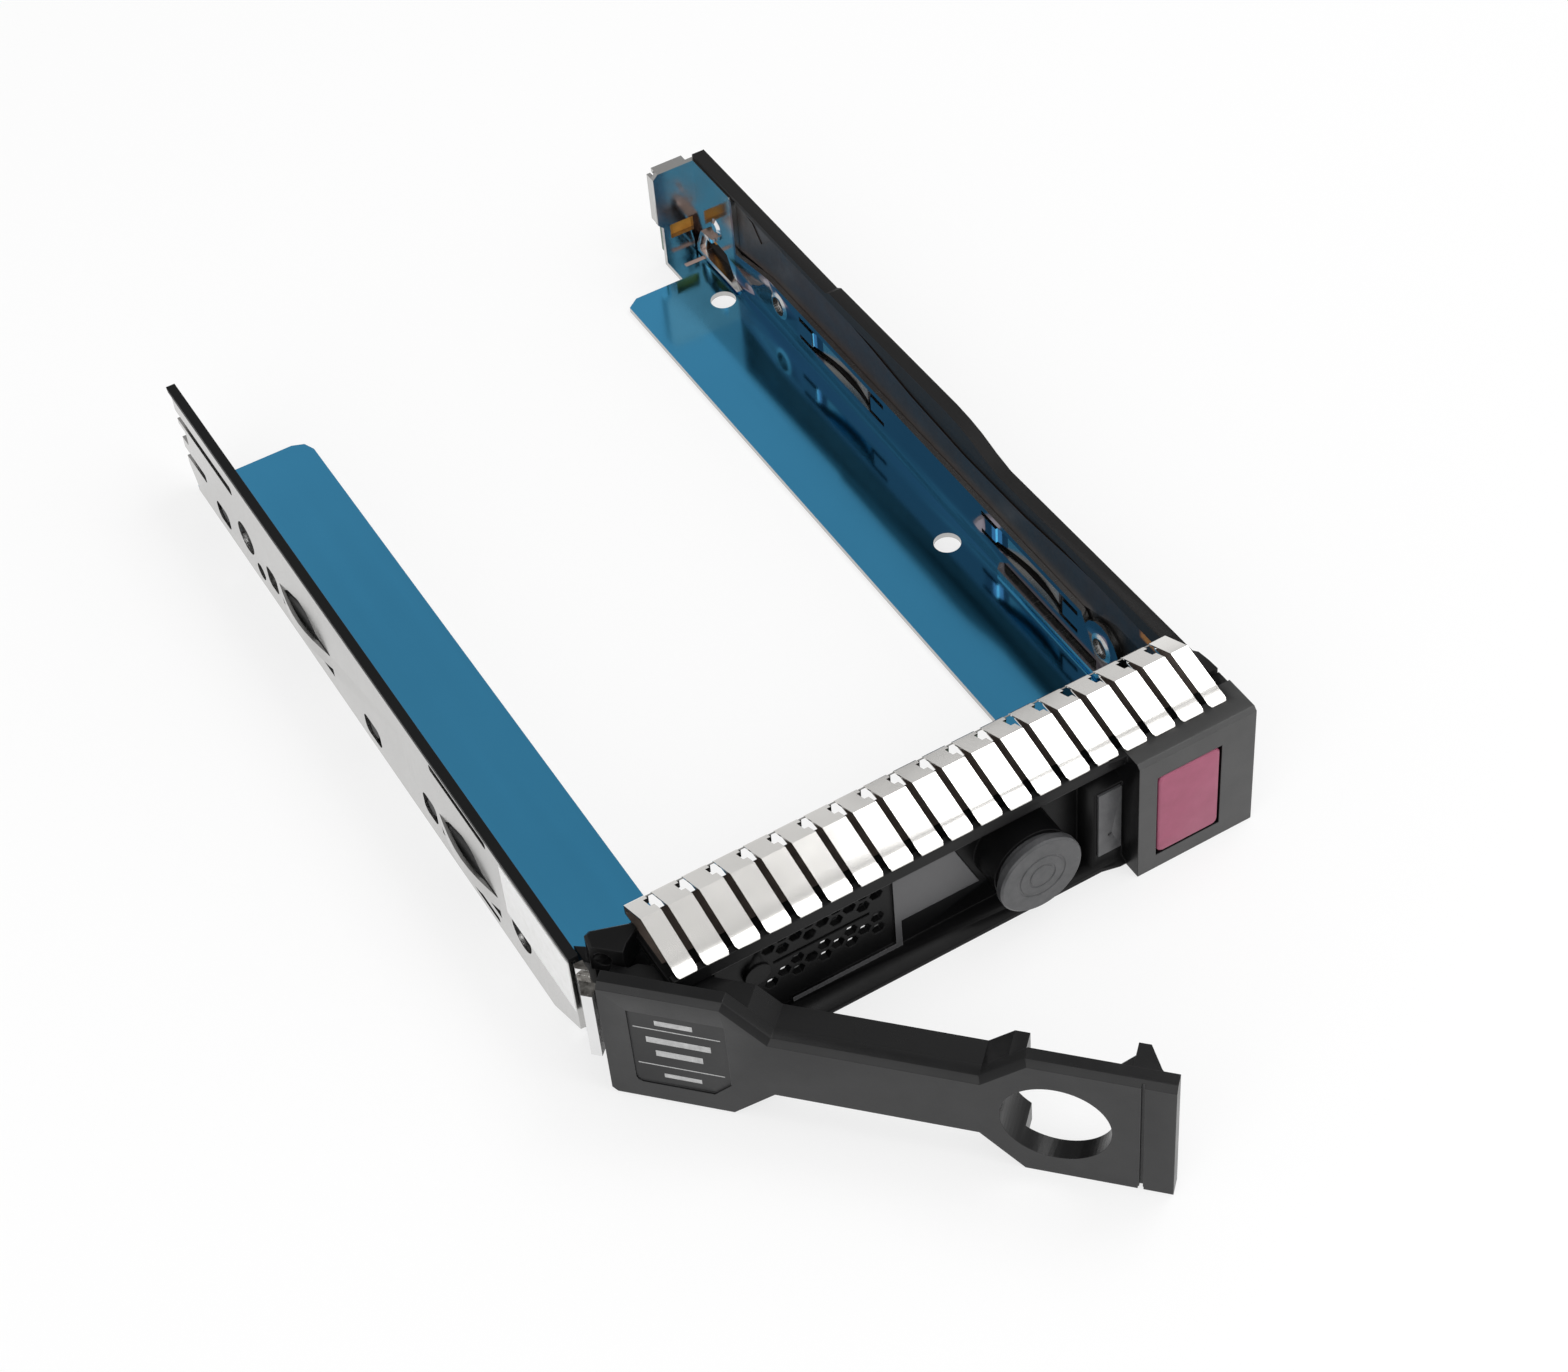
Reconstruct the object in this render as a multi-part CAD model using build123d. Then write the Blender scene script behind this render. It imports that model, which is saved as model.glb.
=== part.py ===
from build123d import *
import math
import os

# Standard drive that the caddy holds, in mm
drive_width = 101.6
drive_hole_span = 101.6
drive_hole_height = 6.35
drive_play = 1.2
bay_shift = 0.75

# Sheet steel rails
sheet = 1.0
hole_inset = 18.95
rail_overhang = 25.45
left_flange_width = 20.85
right_flange_width = 20.3
left_wall_drop = 4.9
right_wall_top = 11.3
screw_head_r = 3.1
drive_screw_r = 1.85
dimple = 0.45
flange_hole_r = 2.35
flange_hole_span = 76.2
flange_hole_edge = 5.05

# Left liner
liner_t = 0.63
liner_rise = 0.8

# Leaf springs lanced from the walls
leaf_length = 20.0
leaf_height = 3.1
leaf_t = 0.6
leaf_rise = 1.25

# Rear tab of the right rail
tab_width = 9.3
tab_drop = 3.7
tab_return = 1.5
tab_back = 3.9
post_depth = 13.9

# Right cover and flexible circuit
flex_t = 0.2
fit = 0.05
cover_t = 1.55
cover_drop = 2.9
cover_front = 9.9

# Bezel
bezel_depth = 17.8
body_h = 25.3
lip_front = 3.8
lip_t = 1.2
seat_drop = 1.7
roof_t = 1.0
floor_t = 1.0
back_wall = 8.6
back_t = 1.2
block_width = 21.24
block_wall = 1.4
front_wall = 2.2
block_edge = 0.65
clear = 0.3

# Stop ear at the hinge, square to the open handle
ear_stop = 6.5
ear_left_s = -3.0
ear_right_s = 2.2
ear_bottom = 20.0
ear_hole_r = 1.35

# Vent
vent_pitch = 2.65
vent_cell = 2.0
slit_z = 11.6
slit_h = 0.6

# Finger strip
finger_pitch = 5.11
finger_gap = 1.15
finger_t = 0.25
first_finger = 3.87
tip_round = 0.6
strip_edge = 0.95
tip_y = 3.5
crest_y = 14.0
crest_rise = 2.7
tail_past = 1.8
tail_drop = 2.7

# Handle
handle_inset = 3.04
handle_gap = 0.4
plate_t = 2.8
ring_t = 3.2
box_depth = 7.2
end_depth = 6.2
skin = 1.3
edge_bevel = 0.9
neck_bottom = 6.6
neck_drop = 6.3
neck_start = 25.0
neck_back = 27.8
neck_slope = 6.6
box_drop = 3.05
box_bottom = 1.7
box_back = 21.8
finger_hole_back = 16.85
finger_hole_z = 11.9
finger_hole_r = 8.0
groove_back = 4.9
hook_h = 2.85
pivot_from_end = 9.67
pivot_y = 8.5
open_angle = 45.85
pin_r = 1.25
pin_fit = 0.05
knuckle_r = 3.0
knuckle_h = 3.3
claw_bottom = 7.6
claw_drop = 3.7
claw_t = 1.2
rivet_r = 0.9
rivet_z = 11.0

# Lenses and board
disc_r = 7.2
disc_t = 1.4
disc_front = 0.2
stem_r = 5.9
window_back = 4.51
window_width = 4.15
window_bottom = 3.7
window_height = 14.0
window_front = 4.0
board_front = 12.6
board_t = 1.2

# Button and catch
button_inset = 3.57
button_margin = 10.04
button_bottom = 3.28
button_drop = 4.77
button_depth = 7.0
button_travel = 1.6
button_spring_r = 1.9
wire_r = 0.25
catch_drop = 3.9
catch_h = 2.3
catch_front = 10.1
catch_depth = 1.8
catch_out = 4.46
catch_end = 8.0

# Screws
screw_r = 1.25
screw_len = 5.5
screw_head = 2.3
boss_r = 2.6
tongue_depth = 5.6
screw_inset = 2.8
left_screws = (-3.4, 3.0)
right_screws = (4.64, 14.04)

# Derived positions across the caddy
bay_right = (drive_width + drive_play) / 2 - bay_shift
bay_left = bay_right - drive_width - drive_play
left_in = bay_left - liner_t
left_out = left_in - sheet
right_out = bay_right + sheet
cover_in = right_out + fit + flex_t + fit
cover_out = cover_in + cover_t
block_right = cover_out
block_left = block_right - block_width
bezel_right = right_out
strip_right = right_out - strip_edge
left_flange_in = left_out + left_flange_width
right_flange_in = right_out - right_flange_width
tab_left = right_out - tab_width
flange_hole_x = right_out - flange_hole_edge

# Derived positions along the caddy
drive_hole_front = bezel_depth + hole_inset
drive_hole_rear = drive_hole_front + drive_hole_span
rail_rear = drive_hole_rear + rail_overhang
flange_rear = rail_rear - 1.7
liner_rear = rail_rear + 2.2
flange_hole_rear = rail_rear - 11.2
tab_face = rail_rear + tab_back
post_front = tab_face - post_depth
cover_rear = tab_face + 0.7
left_wall_front = bezel_depth + 0.8
tail_y = bezel_depth + tail_past
tongue_front = bezel_depth - tongue_depth
screw_y = bezel_depth - screw_inset
side_rear = cover_front - clear

# Derived heights
drive_hole_z = sheet + 0.25 + drive_hole_height
seat_z = body_h - seat_drop
roof_z = seat_z - roof_t
lip_top = body_h - 0.1
left_wall_top = body_h - left_wall_drop
liner_top = left_wall_top + liner_rise
tab_top = body_h - tab_drop
cover_top = body_h - cover_drop
box_top = body_h - box_drop
neck_top = body_h - neck_drop
hook_z = box_top - hook_h
claw_top = body_h - claw_drop
claw_arm_top = claw_top - 1.2
catch_bottom = seat_z - catch_drop
button_height = body_h - button_bottom - button_drop
tip_z = body_h + finger_t / 2
crest_z = tip_z + crest_rise
tail_z = crest_z - tail_drop
strip_base = seat_z + finger_t / 2

# Derived positions of the handle and what follows it
handle_left = left_out + handle_inset
handle_len = block_left - handle_gap - handle_left
neck_end = handle_len - neck_back
box_end_s = handle_len - box_back
finger_hole_s = handle_len - finger_hole_back
groove_s = handle_len - groove_back
pivot_x = handle_left + pivot_from_end
disc_x = handle_left + finger_hole_s
disc_z = finger_hole_z
floor_left = pivot_x + 5.07
strip_left = pivot_x - 2.58
lip_left = strip_left - clear - 0.35
bay_span = block_left - floor_left
window_left = block_left - window_back
button_left = block_left + button_inset
button_width = block_width - button_margin
button_x = button_left + button_width / 2
catch_left = block_left - catch_out
catch_right = block_right - catch_end
board_left = disc_x - 6.6
board_right = window_left + 3.85


def block(x0, x1, y0, y1, z0, z1):
    return Pos((x0 + x1) / 2, (y0 + y1) / 2, (z0 + z1) / 2) * Box(x1 - x0, y1 - y0, z1 - z0)


def prism_x(points, x0, x1):
    face = make_face(Polyline(*points, close=True))
    return extrude(Plane.YZ.offset(x0) * face, x1 - x0)


def prism_y(points, y0, y1):
    face = make_face(Polyline(*points, close=True))
    return extrude(Plane.XZ.offset(-y0) * face, -(y1 - y0))


def prism_z(points, z0, z1):
    face = make_face(Polyline(*points, close=True))
    return extrude(Plane.XY.offset(z0) * face, z1 - z0)


def rod_x(x0, x1, y, z, r):
    return Pos((x0 + x1) / 2, y, z) * Rot(0, 90, 0) * Cylinder(r, x1 - x0)


def rod_y(y0, y1, x, z, r):
    return Pos(x, (y0 + y1) / 2, z) * Rot(90, 0, 0) * Cylinder(r, y1 - y0)


def rod_z(z0, z1, x, y, r):
    return Pos(x, y, (z0 + z1) / 2) * Cylinder(r, z1 - z0)


def slot_x(x0, x1, y0, y1, z0, z1, r):
    pad = block(x0, x1, y0, y1, z0, z1)
    return fillet(pad.edges().filter_by(Axis.X), r)


def opened(shape):
    return Pos(pivot_x, pivot_y, 0) * Rot(0, 0, -open_angle) * Pos(-pivot_x, -pivot_y, 0) * shape


def opened_point(s, d):
    a = math.radians(-open_angle)
    x = handle_left + s - pivot_x
    y = d - pivot_y
    return (pivot_x + x * math.cos(a) - y * math.sin(a), pivot_y + x * math.sin(a) + y * math.cos(a))


def coil(radius, length, turns, wire):
    path = Helix(pitch=length / turns, height=length, radius=radius)
    ring = Plane(origin=path @ 0, z_dir=path % 0) * RegularPolygon(wire, 6)
    return sweep(ring, path=path, is_frenet=True)


def leaf(x_face, y0, z0, side):
    points = []
    steps = 8
    for i in range(steps + 1):
        a = i / steps
        points.append((x_face + side * leaf_rise * math.sin(math.pi * a), y0 + leaf_length * a))
    back = [(x - side * leaf_t, y) for x, y in reversed(points)]
    return prism_z(points + back, z0, z0 + leaf_height)


def left_spots():
    return [pivot_x + x for x in left_screws]


def right_spots():
    return [block_left + x for x in right_screws]


def rivet_spots():
    return ((tab_face - 6.8, 10.6), (bezel_depth + 7.2, 3.4))


def stake_spots():
    return (strip_left + 13.65, (strip_left + strip_right) / 2 - 3.0, strip_right - 19.7)


def gap_spots():
    count = int((strip_right - strip_left - first_finger - 1.5) / finger_pitch) + 1
    return [strip_left + first_finger + i * finger_pitch for i in range(count)]


def save(name, shape):
    export_step(shape, "parts/" + name + ".step")


# Left rail
def make_left_rail():
    wall = [(left_wall_front + 9.4, 0), (left_wall_front, 4.7), (left_wall_front, left_wall_top),
            (rail_rear, left_wall_top), (rail_rear, 5.0), (rail_rear - 2.8, 0)]
    rail = prism_x(wall, left_out, left_in)
    edge = left_flange_in
    rail += prism_z([(left_out, left_wall_front + 9.4), (left_out + 1.5, left_wall_front + 4.0),
                     (left_out + 4.4, bezel_depth), (edge, bezel_depth), (edge, flange_rear - 3.0),
                     (edge - 0.9, flange_rear - 0.9), (edge - 3.0, flange_rear), (left_out, flange_rear)], 0, sheet)
    rail += block(pivot_x - 6.0, pivot_x + 5.0, tongue_front, bezel_depth, 0, sheet)
    a, b = left_out - 1, left_in + 0.2
    hole_y, front_y = drive_hole_rear, drive_hole_front
    mid_y = front_y + drive_hole_span * 0.522
    cuts = [slot_x(a, b, rail_rear - 23.5, rail_rear + 3, left_wall_top - 4.7, left_wall_top - 2.8, 0.6),
            slot_x(a, b, rail_rear - 8.8, rail_rear + 3, 7.0, 9.0, 0.6),
            slot_x(a, b, rail_rear - 3.0, rail_rear + 3, 11.4, 14.5, 0.6),
            slot_x(a, b, rail_rear - 17.2, rail_rear - 11.8, 2.1, 6.1, 1.4),
            slot_x(a, b, hole_y - 12.4, hole_y - 8.2, 3.8, 8.4, 1.4),
            slot_x(a, b, mid_y - 3.0, mid_y + 3.0, 1.9, 6.1, 1.4),
            slot_x(a, b, front_y + 29.05, front_y + 33.85, 3.7, 8.3, 1.4),
            slot_x(a, b, front_y + 8.75, front_y + 27.75, left_wall_top - 1.8, left_wall_top - 0.3, 0.5),
            slot_x(a, b, front_y + 8.75, front_y + 23.25, 1.2, 2.3, 0.4),
            rod_x(a, b, hole_y - 4.6, 3.4, 1.6),
            rod_x(a, b, hole_y, drive_hole_z, screw_head_r),
            rod_x(a, b, front_y, drive_hole_z, screw_head_r)]
    leaves = (hole_y - 33.95, front_y + 7.65)
    z0 = drive_hole_z - 2.2
    for y0 in leaves:
        hole = [(y0, z0 - 1.8), (y0, z0 + leaf_height + 0.4), (y0 + 5.2, z0 + leaf_height + 0.6),
                (y0 + 8.2, z0 + leaf_height + 3.2), (y0 + 11.0, z0 + leaf_height + 3.6),
                (y0 + 16.0, z0 + leaf_height + 1.8), (y0 + leaf_length, z0 + 1.4),
                (y0 + leaf_length, z0 - 1.6)]
        cuts.append(prism_x(hole, a, b))
    for cut in cuts:
        rail -= cut
    for y0 in leaves:
        rail += block(left_out, left_in, y0 - 0.2, y0 + 0.8, z0, z0 + leaf_height)
        rail += block(left_out, left_in, y0 + leaf_length - 0.8, y0 + leaf_length + 0.2, z0, z0 + leaf_height)
        rail += leaf(left_out, y0, z0, -1)
    for x in left_spots():
        rail -= rod_z(-1, sheet + 1, x, screw_y, screw_r + pin_fit)
        rail -= Pos(x, screw_y, 0.35) * Cone(screw_head + pin_fit, screw_r + pin_fit, 0.7)
    return rail


def make_left_liner():
    strip = [(left_wall_front, 4.8), (left_wall_front, liner_top), (liner_rear, liner_top),
             (rail_rear + 0.4, liner_top - 2.4), (rail_rear + 0.4, 5.4), (rail_rear - 2.4, 1.3),
             (left_wall_front + 7.0, 1.3)]
    liner = prism_x(strip, left_in, bay_left)
    cap = [(left_wall_front, left_wall_top), (left_wall_front, liner_top), (liner_rear, liner_top),
           (liner_rear - 0.6, left_wall_top)]
    liner += prism_x(cap, left_out, bay_left)
    for y in (drive_hole_rear, drive_hole_front):
        liner -= rod_x(left_out - 1, bay_left + 1, y, drive_hole_z, drive_screw_r)
    mid_y = drive_hole_front + drive_hole_span * 0.522
    stakes = [(rail_rear - 14.5, 4.1), (mid_y, 4.0), (drive_hole_front + 31.45, 6.0)]
    for y, z in stakes:
        liner += rod_x(left_out + 0.3, left_in, y, z, 1.5)
    return liner


def make_label():
    y0 = left_wall_front + 0.3
    return block(left_out - 0.12, left_out, y0, y0 + 21.9, left_wall_top - 11.6, left_wall_top - 0.4)


# Right rail
def make_right_rail():
    a, b = bay_right, right_out
    hole_r = drive_screw_r
    wall = [(bezel_depth, 0), (bezel_depth, 5.6), (drive_hole_front - 4.9, 5.6),
            (drive_hole_front - 4.9, drive_hole_z)]
    for i in range(1, 8):
        t = math.pi - i * math.pi / 8
        wall.append((drive_hole_front + 4.9 * math.cos(t), drive_hole_z + 4.9 * math.sin(t)))
    wall += [(drive_hole_front + 5.6, right_wall_top), (post_front - 12.0, right_wall_top),
             (post_front, right_wall_top - 2.3), (post_front, tab_top - 0.5), (post_front + 0.8, tab_top),
             (tab_face + sheet, tab_top), (tab_face + sheet, 0)]
    rail = prism_x(wall, a, b)
    rail += prism_z([(right_flange_in, bezel_depth), (right_flange_in, flange_rear - 1.6),
                     (right_flange_in + 2.2, flange_rear), (tab_left + 1.0, flange_rear),
                     (tab_left + 1.0, tab_face + sheet), (b, tab_face + sheet), (b, bezel_depth)], 0, sheet)
    rail += block(block_left + 1.54, block_left + 17.34, tongue_front, bezel_depth, 0, sheet)
    tab = prism_y([(tab_left + 1.0, 0), (tab_left + 1.0, 9.2), (tab_left, 10.2), (tab_left, tab_top - 1.0),
                   (tab_left + 1.0, tab_top), (b, tab_top), (b, 0)], tab_face, tab_face + sheet)
    tab -= block(tab_left + 2.3, tab_left + 7.1, tab_face - 1, tab_face + sheet + 1, 6.2, 9.3)
    rail += tab
    y1 = tab_face + sheet + tab_return
    rail += block(tab_left, tab_left + 0.8, tab_face + sheet, y1, 10.4, tab_top - 1.0)
    rail += block(tab_left + 1.0, b - 2.0, tab_face + sheet, y1, tab_top - 0.8, tab_top)
    relief = block(a - 5, b + 1, tab_face - 3.0, tab_face - 2.0, -1, sheet + 0.02)
    rail -= relief - block(a, b + 1, tab_face - 4.0, tab_face, -2, sheet + 1)
    z0 = 5.2
    for y0 in (drive_hole_rear - 35.55, drive_hole_front + 6.65):
        y1 = y0 + leaf_length + 8.4
        rail -= block(a - 1, b + 1, y0, y1, z0, z0 + leaf_height + 1.9)
        rail += leaf(b, y0 + 4.2, z0 + 0.9, 1)
        rail += block(a, b, y0 - 0.2, y0 + 4.3, z0 + 0.9, z0 + 0.9 + leaf_height)
        rail += block(a, b, y0 + 4.1 + leaf_length, y1 + 0.2, z0 + 0.9, z0 + 0.9 + leaf_height)
    # Lanced ledge at the front and ledge round the rear window
    ledge = drive_play - 0.1
    y0 = drive_hole_front
    rail -= block(a - 1, b + 1, y0 + 1.25, y0 + 28.25, sheet + 1.2, sheet + 2.5)
    rail += prism_z([(a - ledge, y0 - 0.25), (a, y0 - 0.75), (a, y0 + 29.75), (a - ledge, y0 + 28.75)],
                    sheet + 0.35, sheet + 1.2)
    y0 = post_front
    rail -= prism_x([(y0 + 1.6, 2.3), (y0 + 11.8, 2.3), (y0 + 10.6, 6.8), (y0 + 3.8, 6.4)], a - 1, b + 1)
    rail += prism_x([(y0 - 1.2, 1.4), (y0 + 13.4, 1.4), (y0 + 13.4, 3.2), (y0 + 11.4, 7.4), (y0 + 7.2, 8.0),
                     (y0 + 7.2, 7.2), (y0 + 10.8, 6.7), (y0 + 12.4, 3.2), (y0 + 12.2, 2.3), (y0 + 0.8, 2.3)],
                    a - ledge, a + 0.2)
    for y in (drive_hole_rear, drive_hole_front):
        rail += Pos(a - 0.15, y, drive_hole_z) * Rot(0, 90, 0) * Cone(hole_r + 0.5, hole_r + 0.8, 0.3)
        rail -= rod_x(a - 2, b + 1, y, drive_hole_z, hole_r)
        rail -= Pos(b - 0.2, y, drive_hole_z) * Rot(0, 90, 0) * Cone(hole_r, hole_r + dimple, 0.4)
    for y in (flange_hole_rear, flange_hole_rear - flange_hole_span):
        rail -= rod_z(-1, sheet + 1, flange_hole_x, y, flange_hole_r)
    for y, z in rivet_spots():
        rail -= rod_x(a - 1, b + 1, y, z, rivet_r + pin_fit)
    for x in right_spots():
        rail -= rod_z(-1, sheet + 1, x, screw_y, screw_r + pin_fit)
        rail -= Pos(x, screw_y, 0.35) * Cone(screw_head + pin_fit, screw_r + pin_fit, 0.7)
    return rail


def cover_line():
    h = cover_top
    y0, y1 = drive_hole_front, drive_hole_rear
    return [(bezel_depth + 3.0, h + 0.9), (y0 + 5.7, h), (y0 + 30.0, h - 0.8), (y0 + 34.2, h - 0.1),
            (y0 + 38.5, h + 1.0), (y0 + 42.0, h + 1.5), (y0 + 46.0, h + 1.7), (y1 - 18.4, h + 0.9),
            (y1 - 17.0, h), (cover_rear, h)]


def make_cover():
    front = [(cover_front, 1.4), (cover_front, lip_top), (cover_front + 2.4, lip_top - 0.2),
             (cover_front + 4.9, lip_top - 0.7), (cover_front + 6.5, cover_top + 1.0)]
    cover = prism_x(front + cover_line() + [(cover_rear, 1.4)], cover_in, cover_out)
    rim_in = right_out - 0.65
    y1 = drive_hole_rear
    rim = cover_line() + [(cover_rear, tab_top + 0.1), (post_front - 1, tab_top + 0.1),
                          (post_front - 1, cover_top - 1.2), (y1 - 36.0, cover_top - 1.2),
                          (y1 - 42.0, cover_top - 2.0), (bezel_depth + 3.0, cover_top - 2.0)]
    cover += prism_x(rim, rim_in, cover_out)
    for y0 in (y1 - 35.55, drive_hole_front + 6.65):
        cover -= block(cover_in - 1, cover_in + 0.95, y0 + 2, y0 + leaf_length + 6.4, 5.2, 7.3 + leaf_height)
    for y, z in rivet_spots():
        cover += rod_x(right_out, cover_in, y, z, 2.0)
        cover -= rod_x(right_out - 1, cover_in + 0.9, y, z, rivet_r + pin_fit)
    for y in (drive_hole_rear, drive_hole_front):
        cover -= rod_x(cover_in - 1, cover_out + 1, y, drive_hole_z, screw_head_r)
    return cover


def make_flex():
    x0 = right_out + fit
    x1 = x0 + flex_t
    y0, y1, h = drive_hole_front, drive_hole_rear, cover_top
    bend = tab_face + sheet + fit + flex_t
    top = [(bezel_depth - 2.3, h - 7.8), (bezel_depth - 2.3, h - 3.0), (y0 - 6.75, h - 2.6), (y0 + 8.25, h - 3.5),
           (y0 + 23.25, h - 5.0), (y0 + 41.25, h - 5.5), (y1 - 43.35, h - 4.6), (y1 - 28.35, h - 2.8),
           (y1 - 13.35, h - 1.5), (y1 + 2.25, h - 1.5), (y1 + 6.95, h - 5.8), (y1 + 9.95, h - 2.8),
           (post_front + 1.0, h - 1.8), (tab_face - 9.6, h - 1.8), (tab_face - 9.6, 13.2), (bend, 13.2),
           (bend, 4.0), (tab_face - 4.0, 4.0), (tab_face - 10.2, 9.0), (post_front - 8.0, 10.7),
           (y0 + 8.25, 10.7), (y0 - 2.75, h - 7.8)]
    flex = prism_x(top, x0, x1)
    flex += block(tab_left + 2.0, x1, bend - flex_t, bend, 4.0, 13.2)
    y, z = rivet_spots()[0]
    flex -= rod_x(x0 - 1, x1 + 1, y, z, 2.1)
    return flex


def make_contact_board():
    y0 = tab_face + sheet + fit + flex_t + fit
    return block(tab_left + 1.1, bay_right - 0.4, y0, y0 + 0.6, 3.0, tab_top - 1.0)


def make_pads():
    y0 = tab_face + sheet + 2 * fit + flex_t + 0.6
    pads = []
    for i in range(8):
        z = 4.6 + (tab_top - 5.6) / 8 * i
        pads.append(block(tab_left + 2.4, tab_left + 6.4, y0, y0 + 0.15, z, z + 1.2))
    return Compound(children=pads)


def make_cover_rivets():
    rivets = []
    for y, z in rivet_spots():
        pin = rod_x(bay_right, cover_in + 0.8, y, z, rivet_r)
        head = Pos(bay_right - 0.2, y, z) * Rot(0, 90, 0) * Cone(rivet_r, rivet_r + 0.8, 0.4)
        rivets.append(pin + head)
    return Compound(children=rivets)


# Front bezel
def make_block():
    side = block_right
    shell = block(block_left, side, 0, lip_front + lip_t, 0, body_h)
    shell += block(block_left, side, 0, side_rear, 0, seat_z)
    shell += block(side - 2.5, side, 0, side_rear - 2.7, 0, body_h)
    shell += block(side - 2.5, side, 0, side_rear, 0, body_h - 0.7)
    shell += block(block_left, bezel_right, side_rear - 0.1, bezel_depth, 0, seat_z)
    shell += block(bezel_right - 0.65, bezel_right, side_rear - 0.1, bezel_depth - 2.4, seat_z - 1, lip_top)
    front_top = shell.edges().filter_by(Axis.X).filter_by(lambda e: e.center().Y < 0.01).sort_by(Axis.Z)[-1]
    shell = chamfer(front_top, block_edge)
    hollow = block(block_left + block_wall, side - block_wall, front_wall, side_rear, 1.2, roof_z)
    hollow += block(block_left + block_wall, bezel_right - 1.3, side_rear - 0.1, bezel_depth + 1, 1.2, roof_z)
    shell -= hollow
    shell -= block(button_left - clear, button_left + button_width + clear, -1, front_wall + 1,
                   button_bottom - clear, button_bottom + button_height + clear)
    shell -= block(block_left + 1.24, block_left + 17.64, tongue_front - 0.3, bezel_depth + 1, -1, sheet + 0.05)
    shell -= block(block_left + 2, bezel_right + 1, tongue_front, bezel_depth + 1, -1, sheet + 0.05)
    return shell


def make_ear():
    left = opened_point(ear_left_s, ear_stop)
    right = opened_point(ear_right_s, ear_stop)
    side = opened_point(ear_right_s, ear_stop + 1.7)
    ear = prism_z([left, right, side, (strip_left - clear, screw_y + 0.3), (strip_left - clear, bezel_depth - 1.0),
                   (left[0] + 1.5, bezel_depth + 1.1), (left[0] + 0.5, bezel_depth + 0.7)], ear_bottom, lip_top)
    rear = [e for e in ear.edges().group_by(Axis.Z)[-1] if e.center().Y > screw_y + 1.5]
    ear = chamfer(rear, 0.5)
    bore = Pos(pivot_x, pivot_y, 0) * Rot(0, 0, -open_angle) * Pos(-pivot_x, -pivot_y, 0) \
        * rod_y(ear_stop - 1, ear_stop + 1.6, handle_left + ear_left_s + 1.9, lip_top - 2.5, ear_hole_r)
    return ear - bore


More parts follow.
